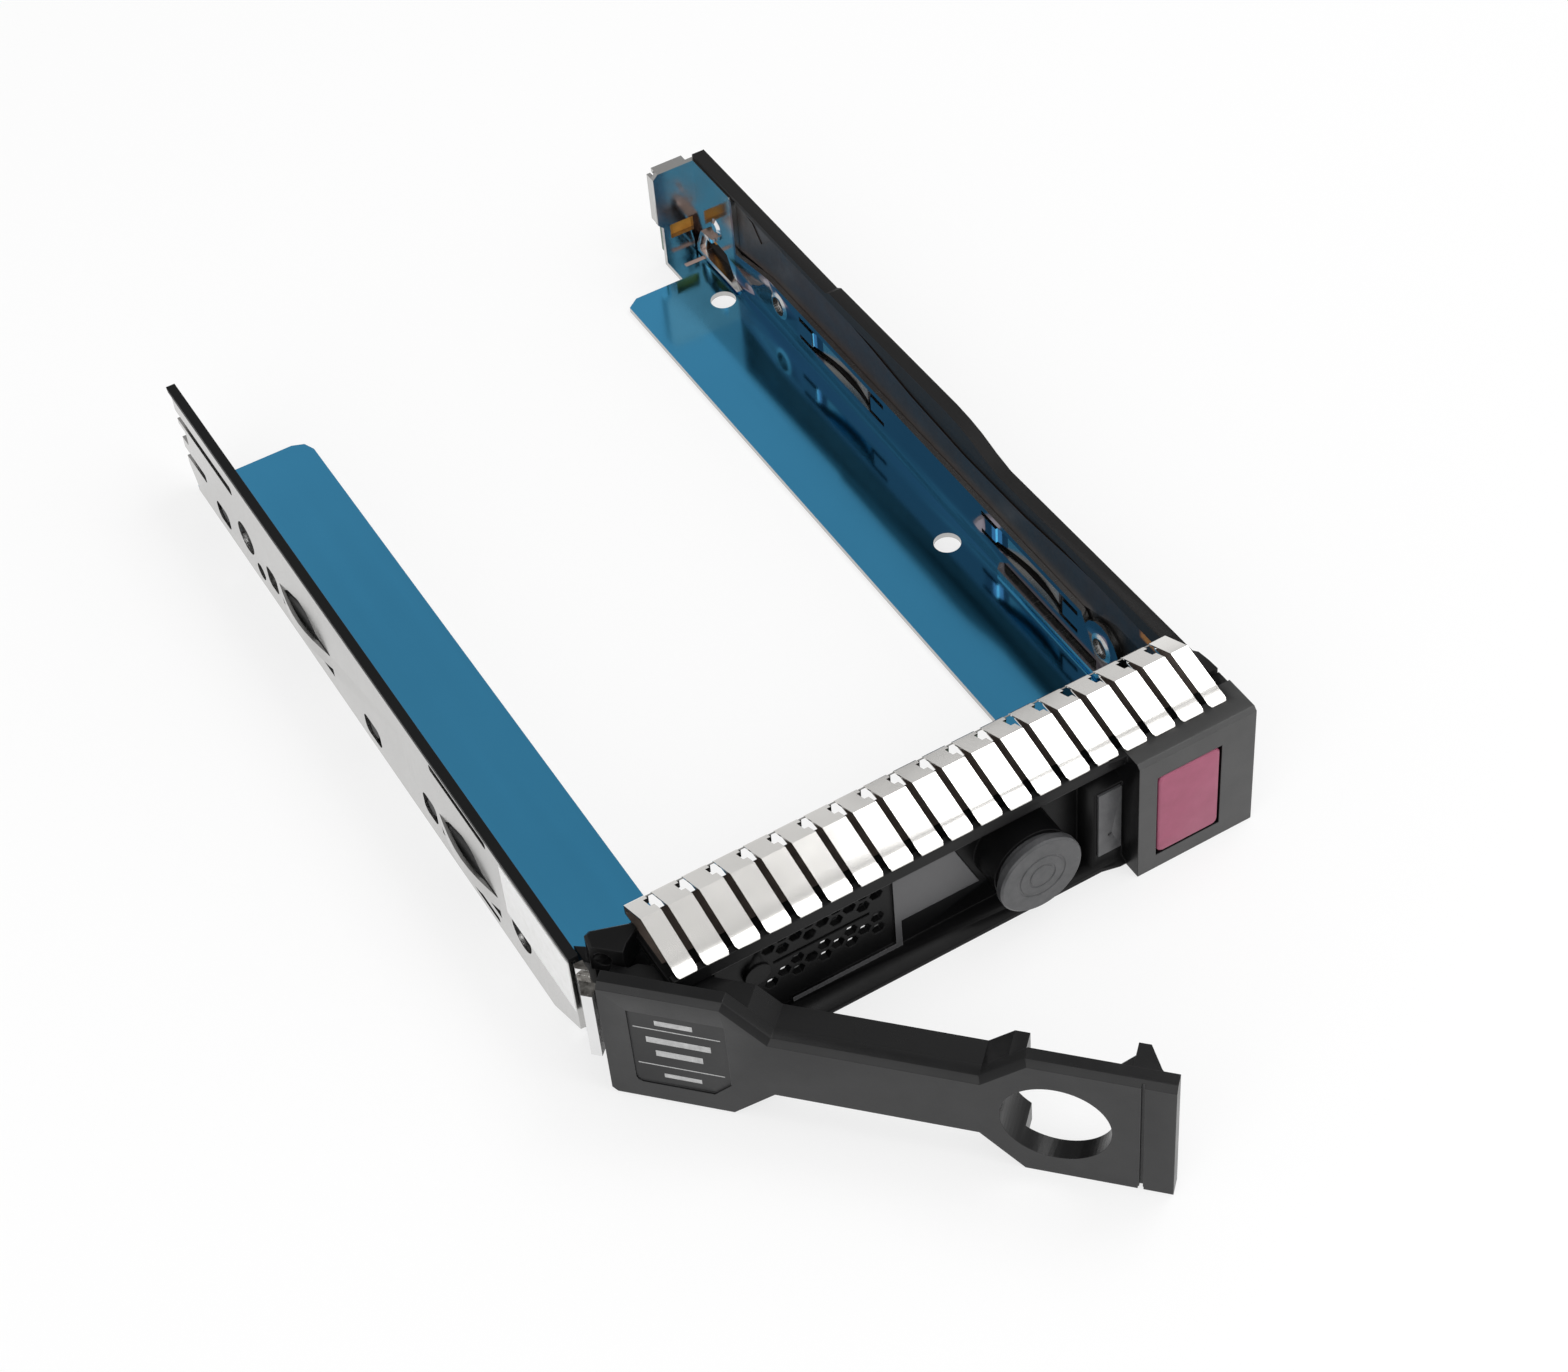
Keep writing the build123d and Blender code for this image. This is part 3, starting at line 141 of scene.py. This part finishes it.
class Mat:
    SOCKETS = {"metallic": "Metallic", "rough": "Roughness", "coat": "Coat Weight",
               "coat_rough": "Coat Roughness", "spec": "Specular IOR Level"}

    def __init__(self, name):
        self.m = bpy.data.materials.new(name)
        self.m.use_nodes = True
        self.nt = self.m.node_tree
        self.nt.nodes.clear()
        self.out = self.node("ShaderNodeOutputMaterial")
        self.bsdf = self.node("ShaderNodeBsdfPrincipled")
        self.link(self.bsdf.outputs[0], self.out.inputs[0])
        self.pos = self.node("ShaderNodeTexCoord").outputs["Object"]

    def node(self, kind, **settings):
        made = self.nt.nodes.new(kind)
        for key, value in settings.items():
            setattr(made, key, value)
        return made

    def link(self, a, b):
        self.nt.links.new(a, b)

    def put(self, **values):
        for key, value in values.items():
            self.bsdf.inputs[self.SOCKETS[key]].default_value = value

    def math(self, operation, a, b):
        made = self.node("ShaderNodeMath", operation=operation)
        for socket, value in zip(made.inputs, (a, b)):
            if isinstance(value, float):
                socket.default_value = value
            else:
                self.link(value, socket)
        return made.outputs[0]

    def axis(self, name):
        split = self.node("ShaderNodeSeparateXYZ")
        self.link(self.pos, split.inputs[0])
        return split.outputs[name]

    def rise(self, source, start, end):
        # 0 at start and 1 at end
        made = self.node("ShaderNodeMapRange")
        made.inputs["From Min"].default_value = start
        made.inputs["From Max"].default_value = end
        self.link(source, made.inputs["Value"])
        return made.outputs[0]

    def band(self, name, limits, soft):
        # 1 between two places along one object axis
        low, high = limits
        place = self.axis(name)
        return self.math("MULTIPLY", self.rise(place, low - soft, low + soft),
                         self.rise(place, high + soft, high - soft))

    def scaled(self, factor):
        made = self.node("ShaderNodeMapping")
        made.inputs["Scale"].default_value = factor
        self.link(self.pos, made.inputs["Vector"])
        return made.outputs[0]

    def noise(self, scale, detail=4.0, rough=0.6, vector=None):
        made = self.node("ShaderNodeTexNoise")
        made.inputs["Scale"].default_value = scale
        made.inputs["Detail"].default_value = detail
        made.inputs["Roughness"].default_value = rough
        self.link(vector or self.pos, made.inputs["Vector"])
        return made.outputs[0]

    def ramp(self, source, stops):
        made = self.node("ShaderNodeValToRGB")
        set_stops(made.color_ramp, stops)
        self.link(source, made.inputs[0])
        return made.outputs[0]

    def blend(self, mask, a, b):
        made = self.node("ShaderNodeMix", data_type="RGBA")
        self.link(mask, made.inputs["Factor"])
        for key, value in (("A", a), ("B", b)):
            if isinstance(value, tuple):
                made.inputs[key].default_value = value + (1.0,)
            else:
                self.link(value, made.inputs[key])
        return made.outputs["Result"]

    def color(self, source):
        self.link(source, self.bsdf.inputs["Base Color"])

    def color_from(self, source, a, b):
        self.color(self.ramp(source, [(0.3, a), (0.7, b)]))

    def rough_from(self, source, low, high):
        self.link(self.ramp(source, [(0.3, low), (0.7, high)]), self.bsdf.inputs["Roughness"])

    def bevel(self, radius, samples):
        made = self.node("ShaderNodeBevel")
        made.samples = samples
        made.inputs["Radius"].default_value = radius
        return made.outputs[0]

    def bump(self, *layers, rounded=0.0):
        previous = self.bevel(rounded, 6) if rounded else None
        for source, strength, distance in layers:
            made = self.node("ShaderNodeBump")
            made.inputs["Strength"].default_value = strength
            made.inputs["Distance"].default_value = distance
            self.link(source, made.inputs["Height"])
            if previous:
                self.link(previous, made.inputs["Normal"])
            previous = made.outputs[0]
        self.link(previous, self.bsdf.inputs["Normal"])

    def edges(self, tone):
        # Edges lighter by wear and painted highlight: where a bevelled normal leaves the true one
        dot = self.node("ShaderNodeVectorMath", operation="DOT_PRODUCT")
        self.link(self.bevel(EDGE_RADIUS, 4), dot.inputs[0])
        self.link(self.node("ShaderNodeNewGeometry").outputs["Normal"], dot.inputs[1])
        mask = self.ramp(dot.outputs["Value"], [(0.86, 1.0), (0.985, 0.0)])
        patch = self.ramp(self.noise(900.0, 3.0), [(0.35, 0.2), (0.65, 1.0)])
        worn_and_lit = self.math("MULTIPLY", self.math("MULTIPLY", mask, patch), EDGE_WEAR_AND_HIGHLIGHT)
        stops = [(0.35, scaled_tone(tone, 0.9)), (0.65, scaled_tone(tone, 1.12))]
        base = self.ramp(self.noise(60.0, 5.0), stops)
        # The lighter edge tone stands for wear and for painted highlight
        self.color(self.blend(worn_and_lit, base, tuple(min(1.0, c * 3.2 + 0.02) for c in tone)))


# Moulded black plastic with fine grain, and edges lighter by wear and painted highlight
def black_plastic(name, tone, rough, grain=1.0, spec=0.5, rounded=0.0):
    m = Mat(name)
    m.put(spec=spec)
    wide = m.noise(130.0, 5.0)
    m.rough_from(wide, rough - 0.05, rough + 0.07)
    m.edges(tone)
    m.bump((m.noise(5200.0, 2.0, 0.5), 0.16 * grain, 0.00006), (wide, 0.04, 0.0002), rounded=rounded)
    return m.m


# Rolled or plated steel with fine lines
def bare_steel(name, tone, rough=0.2, brushed=(1.0, 40.0, 1.0), bump=0.03):
    m = Mat(name)
    m.put(metallic=1.0)
    lines = m.noise(220.0, 3.0, 0.7, m.scaled(brushed))
    m.rough_from(lines, rough - 0.05, rough + 0.08)
    m.color_from(m.noise(35.0, 4.0), scaled_tone(tone, 0.92), scaled_tone(tone, 1.05))
    m.bump((lines, bump, 0.00004))
    return m.m


# Bright spring steel whose finger tips curl down
def finger_steel():
    m = Mat("finger_steel")
    m.put(metallic=1.0)
    m.rough_from(m.noise(90.0, 3.0), 0.12, 0.17)
    m.color_from(m.noise(35.0, 4.0), (0.72, 0.705, 0.68), (0.8, 0.785, 0.76))
    out = m.rise(m.axis("Y"), CURL_START, CURL_END)
    height = m.math("SUBTRACT", 1.0, m.math("MULTIPLY", out, out))
    lines = m.noise(220.0, 3.0, 0.7, m.scaled((1.0, 30.0, 30.0)))
    m.bump((lines, 0.01, 0.00003), (height, 1.0, CURL_DROP))
    return m.m


# Blue protective film on the steel, with bare steel beyond its end on the walls
def film_blue(name, a, b, film_end=None):
    m = Mat(name)
    m.put(metallic=1.0, coat=0.15, coat_rough=0.05)
    tint = m.ramp(m.noise(14.0, 4.0), [(0.3, a), (0.7, b)])
    if film_end:
        tint = m.blend(m.band("Y", (film_end, BEYOND), 0.0003), tint, (0.5, 0.51, 0.5))
    m.color(tint)
    m.rough_from(m.noise(300.0, 2.0, 0.6, m.scaled((1.0, 0.05, 1.0))), 0.09, 0.16)
    m.bump((m.noise(40.0, 3.0), 0.02, 0.0002))
    return m.m


# Fine grained cover, with its smooth lighter panel near the rear
def cover_plastic():
    m = Mat("cover_black")
    m.put(spec=0.22)
    wide = m.noise(130.0, 5.0)
    panel = m.math("MULTIPLY", m.band("Y", COVER_PANEL_Y, 0.0004), m.band("Z", COVER_PANEL_Z, 0.0003))
    base = m.ramp(wide, [(0.35, (0.0055, 0.005, 0.005)), (0.65, (0.0075, 0.007, 0.007))])
    m.color(m.blend(panel, base, (0.055, 0.055, 0.058)))
    m.rough_from(wide, 0.48, 0.6)
    m.bump((m.noise(4200.0, 2.0), 0.2, 0.00006), (wide, 0.04, 0.0002))
    return m.m


# Dark polyimide film with amber patches at both ends
def flex_film():
    m = Mat("flex_film")
    m.put(coat=0.12, coat_rough=0.25, spec=0.3)
    front = m.math("MULTIPLY", m.band("Y", AMBER_FRONT_Y, 0.0004), m.band("Z", AMBER_FRONT_Z, 0.0003))
    rear = m.band("Y", (AMBER_REAR, BEYOND), 0.0008)
    dark = m.ramp(m.noise(45.0, 4.0, 0.6, m.scaled((1.0, 0.4, 2.5))),
                  [(0.35, (0.012, 0.008, 0.007)), (0.65, (0.026, 0.014, 0.01))])
    amber = m.ramp(m.noise(200.0, 4.0), [(0.35, (0.4, 0.14, 0.015)), (0.65, (0.62, 0.27, 0.04))])
    m.color(m.blend(m.math("MAXIMUM", front, rear), dark, amber))
    m.rough_from(m.noise(200.0), 0.38, 0.55)
    m.bump((m.noise(90.0, 3.0), 0.15, 0.0003))
    return m.m


# Any other finish: two tones, a range of roughness and a light grain
def simple(name, scale, a, b, rough, **values):
    m = Mat(name)
    m.put(**values)
    m.color_from(m.noise(scale, 5.0), a, b)
    m.rough_from(m.noise(scale * 0.7), rough[0], rough[1])
    m.bump((m.noise(3600.0, 2.0), 0.1, 0.00005))
    return m.m


def make_materials():
    return {
        "bezel": black_plastic("bezel_black", (0.005, 0.005, 0.0052), 0.34, spec=0.14, rounded=0.0003),
        # Pad: the bezel's black made lighter, painted light on a front-facing face
        "pad": black_plastic("bezel_pad_lit", (0.085, 0.085, 0.088), 0.3, 0.5, rounded=0.0002),
        # Block front and top: the bezel's black made lighter, painted light
        "front": black_plastic("block_front_lit", grey(0.04), 0.42, rounded=0.0003),
        "handle": black_plastic("handle_black", (0.0042, 0.0042, 0.0045), 0.3, spec=0.3),
        # The handle's front faces: a lighter copy of the handle's black, painted light
        "handle_front_lit": black_plastic("handle_front_lit", (0.0155, 0.0155, 0.016), 0.4, spec=0.38),
        "cover": cover_plastic(),
        "liner": black_plastic("liner_black", (0.003, 0.0034, 0.0036), 0.45, 1.2, spec=0.18),
        "catch": black_plastic("catch_black", (0.014, 0.014, 0.0145), 0.4),
        "steel": bare_steel("bare_steel", (0.52, 0.515, 0.505)),
        "chrome": bare_steel("bright_steel", grey(0.78), 0.1, (1.0, 1.0, 30.0), 0.01),
        # A darker, warmer copy of the steel for front faces near the rear: painted shade
        "tab": bare_steel("tab_steel_shaded", (0.38, 0.28, 0.25), 0.16),
        "finger": finger_steel(),
        # The strip's base between the fingers: dark brown, painted shade in the gaps
        "strip_base": simple("strip_base", 400.0, (0.05, 0.036, 0.03), (0.1, 0.075, 0.06), (0.45, 0.6)),
        # The claw's top faces: a darker finish than the chrome, painted shade
        "claw_top": simple("claw_top", 900.0, (0.06, 0.055, 0.05), (0.3, 0.29, 0.27), (0.15, 0.3),
                           metallic=1.0),
        "film": film_blue("film_flange", (0.078, 0.44, 0.78), (0.092, 0.49, 0.85)),
        # The film on the walls: a darker, greyer copy of the flange's film, painted shade
        "film_wall_shaded": film_blue("film_wall_shaded", (0.15, 0.13, 0.165), (0.18, 0.155, 0.2), FILM_END),
        "flex": flex_film(),
        "button": simple("button_magenta", 260.0, (0.275, 0.062, 0.112), (0.325, 0.075, 0.137), (0.4, 0.5)),
        "ring": simple("ring_grey", 520.0, (0.044, 0.045, 0.047), (0.07, 0.07, 0.073), (0.35, 0.5),
                       spec=0.45, coat=0.15, coat_rough=0.25),
        "lens": simple("lens_grey", 520.0, (0.058, 0.059, 0.062), (0.09, 0.09, 0.093), (0.35, 0.5),
                       coat=0.2, coat_rough=0.25),
        "sticker": simple("sticker", 700.0, (0.8, 0.8, 0.79), grey(0.86), (0.4, 0.55)),
        "print": simple("print_grey", 900.0, grey(0.34), grey(0.48), (0.45, 0.6)),
        "board": simple("board_green", 500.0, (0.01, 0.07, 0.03), (0.02, 0.11, 0.05), (0.3, 0.45),
                        coat=0.5, coat_rough=0.15),
        "gold": simple("gold", 800.0, (0.7, 0.5, 0.2), (0.85, 0.63, 0.28), (0.2, 0.32), metallic=1.0),
        "led": simple("led_resin", 900.0, (0.6, 0.6, 0.5), (0.75, 0.75, 0.66), (0.3, 0.4), coat=0.4),
    }


# Pale paper that the camera and the metal see nearly white, with its shadows kept
def floor_paper():
    m = Mat("floor_paper")
    m.color_from(m.noise(3.0, 3.0), grey(0.93), grey(0.95))
    m.put(spec=0.2, rough=0.8)
    path = m.node("ShaderNodeLightPath")
    seen = m.math("MAXIMUM", path.outputs["Is Camera Ray"], path.outputs["Is Glossy Ray"])
    mix = m.node("ShaderNodeMixShader")
    m.link(m.math("MULTIPLY", seen, FLOOR_GLOW), mix.inputs[0])
    m.link(m.bsdf.outputs[0], mix.inputs[1])
    m.link(m.node("ShaderNodeEmission").outputs[0], mix.inputs[2])
    m.link(mix.outputs[0], m.out.inputs[0])
    return m.m


def make_floor():
    mesh = bpy.data.meshes.new("floor")
    corners = [(-1, -1), (1, -1), (1, 1), (-1, 1)]
    mesh.from_pydata([(x * FLOOR_SIDE, y * FLOOR_SIDE, -FLOOR_DROP) for x, y in corners], [], [(0, 1, 2, 3)])
    mesh.materials.append(floor_paper())
    floor = bpy.data.objects.new("floor", mesh)
    scene.collection.objects.link(floor)


# Studio light that changes with height, seen by the camera as plain white
def make_world():
    world = bpy.data.worlds.new("studio")
    scene.world = world
    world.use_nodes = True
    nodes, links = world.node_tree.nodes, world.node_tree.links
    nodes.clear()
    split = nodes.new("ShaderNodeSeparateXYZ")
    ramp = nodes.new("ShaderNodeValToRGB")
    light = nodes.new("ShaderNodeBackground")
    seen = nodes.new("ShaderNodeBackground")
    mix = nodes.new("ShaderNodeMixShader")
    set_stops(ramp.color_ramp, STUDIO)
    seen.inputs[0].default_value = (1.0, 1.0, 1.0, 1.0)
    links.new(nodes.new("ShaderNodeTexCoord").outputs["Generated"], split.inputs[0])
    links.new(split.outputs["Z"], ramp.inputs[0])
    links.new(ramp.outputs[0], light.inputs[0])
    links.new(nodes.new("ShaderNodeLightPath").outputs["Is Camera Ray"], mix.inputs[0])
    links.new(light.outputs[0], mix.inputs[1])
    links.new(seen.outputs[0], mix.inputs[2])
    links.new(mix.outputs[0], nodes.new("ShaderNodeOutputWorld").inputs[0])


def make_lamps():
    for name, place, side, watts in LAMPS:
        lamp = bpy.data.lights.new(name, "AREA")
        lamp.shape = "SQUARE"
        lamp.size = side
        lamp.energy = watts
        obj = bpy.data.objects.new(name, lamp)
        obj.location = place
        obj.rotation_euler = (LAMP_AIM - Vector(place)).to_track_quat("-Z", "Y").to_euler()
        scene.collection.objects.link(obj)


# A copy of a CAD mesh, cleaned and with softened edges, that stands for its node
def soften(node, materials, bevel, body, segments=2):
    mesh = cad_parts[node].data.copy()
    mesh.name = node + "_soft"
    bm = bmesh.new()
    bm.from_mesh(mesh)
    bmesh.ops.remove_doubles(bm, verts=bm.verts, dist=WELD)
    bmesh.ops.dissolve_limit(bm, angle_limit=math.radians(FLAT_ANGLE), verts=bm.verts, edges=bm.edges)
    bm.to_mesh(mesh)
    bm.free()
    mesh.materials.clear()
    for material in materials:
        mesh.materials.append(material)
    obj = bpy.data.objects.new(node + "_soft", mesh)
    scene.collection.objects.link(obj)
    if bevel:
        mod = obj.modifiers.new("edge", "BEVEL")
        mod.width = bevel
        mod.segments = segments
        mod.limit_method = "ANGLE"
        mod.angle_limit = math.radians(BEVEL_ANGLE)
        mod.miter_outer = "MITER_ARC"
    for poly in mesh.polygons:
        poly.use_smooth = True
    mesh.set_sharp_from_angle(angle=math.radians(SHARP_ANGLE))
    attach(obj, body)
    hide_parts(node)
    return obj


# A CAD node that keeps its own mesh and gets a finish
def paint(node, material):
    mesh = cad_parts[node].data
    mesh.materials.clear()
    mesh.materials.append(material)
    for poly in mesh.polygons:
        poly.material_index = 0


# A coil: a cleaned copy of its CAD mesh, with a mesh of its own
def spring(node, material):
    obj = soften(node, [material], 0.0, "caddy")
    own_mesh(obj)


def by_face(obj, rule):
    for poly in obj.data.polygons:
        poly.material_index = rule(poly.normal, poly.center)


# A point of the open handle, from its place along, into and up the closed one, in mm
def handle_point(along, depth, height):
    angle = math.radians(-OPEN_ANGLE)
    x, y = HANDLE_LEFT + along - PIVOT[0], depth - PIVOT[1]
    return Vector((PIVOT[0] + x * math.cos(angle) - y * math.sin(angle),
                   PIVOT[1] + x * math.sin(angle) + y * math.cos(angle), height)) * MM


def print_label(material):
    verts, faces = [], []
    sides = ((0, 1, 2, 3), (7, 6, 5, 4), (0, 4, 5, 1), (1, 5, 6, 2), (2, 6, 7, 3), (3, 7, 4, 0))
    for start, end, low, high in RULES + BARS:
        first = len(verts)
        for depth in MARK_DEPTHS:
            for along, height in ((start, low), (end, low), (end, high), (start, high)):
                verts.append(handle_point(along, depth, height))
        faces += [[first + i for i in side] for side in sides]
    mesh = bpy.data.meshes.new("label_print")
    mesh.from_pydata(verts, [], faces)
    mesh.materials.append(material)
    obj = bpy.data.objects.new("label_print", mesh)
    scene.collection.objects.link(obj)
    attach(obj, "handle_body")


# Film on the flange's top, and a darker copy of it, painted shade, on the wall's inner face; bare steel
# elsewhere
def rail_face(n, c, inner):
    if n.z > 0.9 and FLANGE_TOP[0] < c.z < FLANGE_TOP[1]:
        return 1
    if inner * n.x > 0.9 and WALL_INSIDE[0] < abs(c.x) < WALL_INSIDE[1] and c.z > WALL_FOOT:
        return 2
    return 0


def dress_rails(mats):
    skins = [mats["steel"], mats["film"], mats["film_wall_shaded"]]
    left = soften("left_rail", skins, 0.0, "caddy")
    by_face(left, lambda n, c: rail_face(n, c, 1))
    right = soften("right_rail", skins + [mats["tab"]], 0.0, "caddy")
    # Front-facing faces past the tab's start take the darker steel: painted shade
    by_face(right, lambda n, c: 3 if n.y < -0.9 and c.y > TAB_START else rail_face(n, c, -1))
    soften("left_rail_liner", [mats["liner"]], 0.0002, "caddy")
    soften("right_rail_cover", [mats["cover"]], 0.00025, "caddy")


# The smooth pad in the bay, then the block's front and top, differ from the rest of the bezel: lighter
# copies of its black, painted light on faces turned to the light
def bezel_face(n, c):
    # 1 is the lighter pad and 2 the lighter block front and top, both painted light
    if n.y < -0.9 and abs(c.y - BAY_PAD) < 0.0001:
        return 1
    if n.y < -0.6 and c.y < BLOCK_FRONT and c.x > BLOCK_LEFT:
        return 2
    if n.z > 0.9 and c.x > BLOCK_LEFT and c.z > BLOCK_TOP:
        return 2
    return 0


def dress_bezel(mats):
    bezel = soften("front_bezel", [mats["bezel"], mats["pad"], mats["front"]], 0.0, "caddy")
    by_face(bezel, bezel_face)


def dress_handle(mats):
    handle = soften("handle", [mats["handle"], mats["handle_front_lit"]], 0.00022, "handle_body")
    front = (handle_point(0, -1, 0) - handle_point(0, 0, 0)).normalized()
    # Faces turned to the front take the lighter copy: painted light
    by_face(handle, lambda n, c: 1 if n.dot(front) > 0.85 else 0)
    claw = soften("handle_claw", [mats["chrome"], mats["claw_top"]], 0.0002, "handle_body", 3)
    # Top faces take the darker finish: painted shade
    by_face(claw, lambda n, c: 1 if n.z > 0.8 else 0)


def dress_front(mats):
    soften("release_button", [mats["button"]], 0.0002, "button")
    strip = soften("emi_spring", [mats["finger"], mats["strip_base"]], 0.0, "caddy")
    # Upward faces of the base below the fingers take the dark brown: painted shade
    by_face(strip, lambda n, c: 1 if n.z > 0.95 and c.z < STRIP_BASE_TOP else 0)
    soften("ring_lens", [mats["ring"]], 0.0001, "caddy")
    soften("status_window", [mats["lens"]], 0.0001, "caddy")
    spring("button_spring", mats["chrome"])
    spring("catch_spring", mats["chrome"])


def dress_small(mats):
    for node, key in (("rail_label", "sticker"), ("flex_circuit", "flex"), ("contact_board", "board"),
                      ("contact_pads", "gold"), ("cover_rivets", "chrome"), ("claw_rivets", "chrome"),
                      ("handle_pin", "chrome"), ("handle_spring", "chrome"), ("led_board", "board"),
                      ("board_leds", "led"), ("rail_screws", "chrome"), ("latch_catch", "catch")):
        paint(node, mats[key])


def main():
    make_camera()
    make_world()
    make_floor()
    make_lamps()
    mats = make_materials()
    print_label(mats["print"])
    dress_rails(mats)
    dress_bezel(mats)
    dress_handle(mats)
    dress_front(mats)
    dress_small(mats)
    scene.view_settings.view_transform = "Standard"


main()
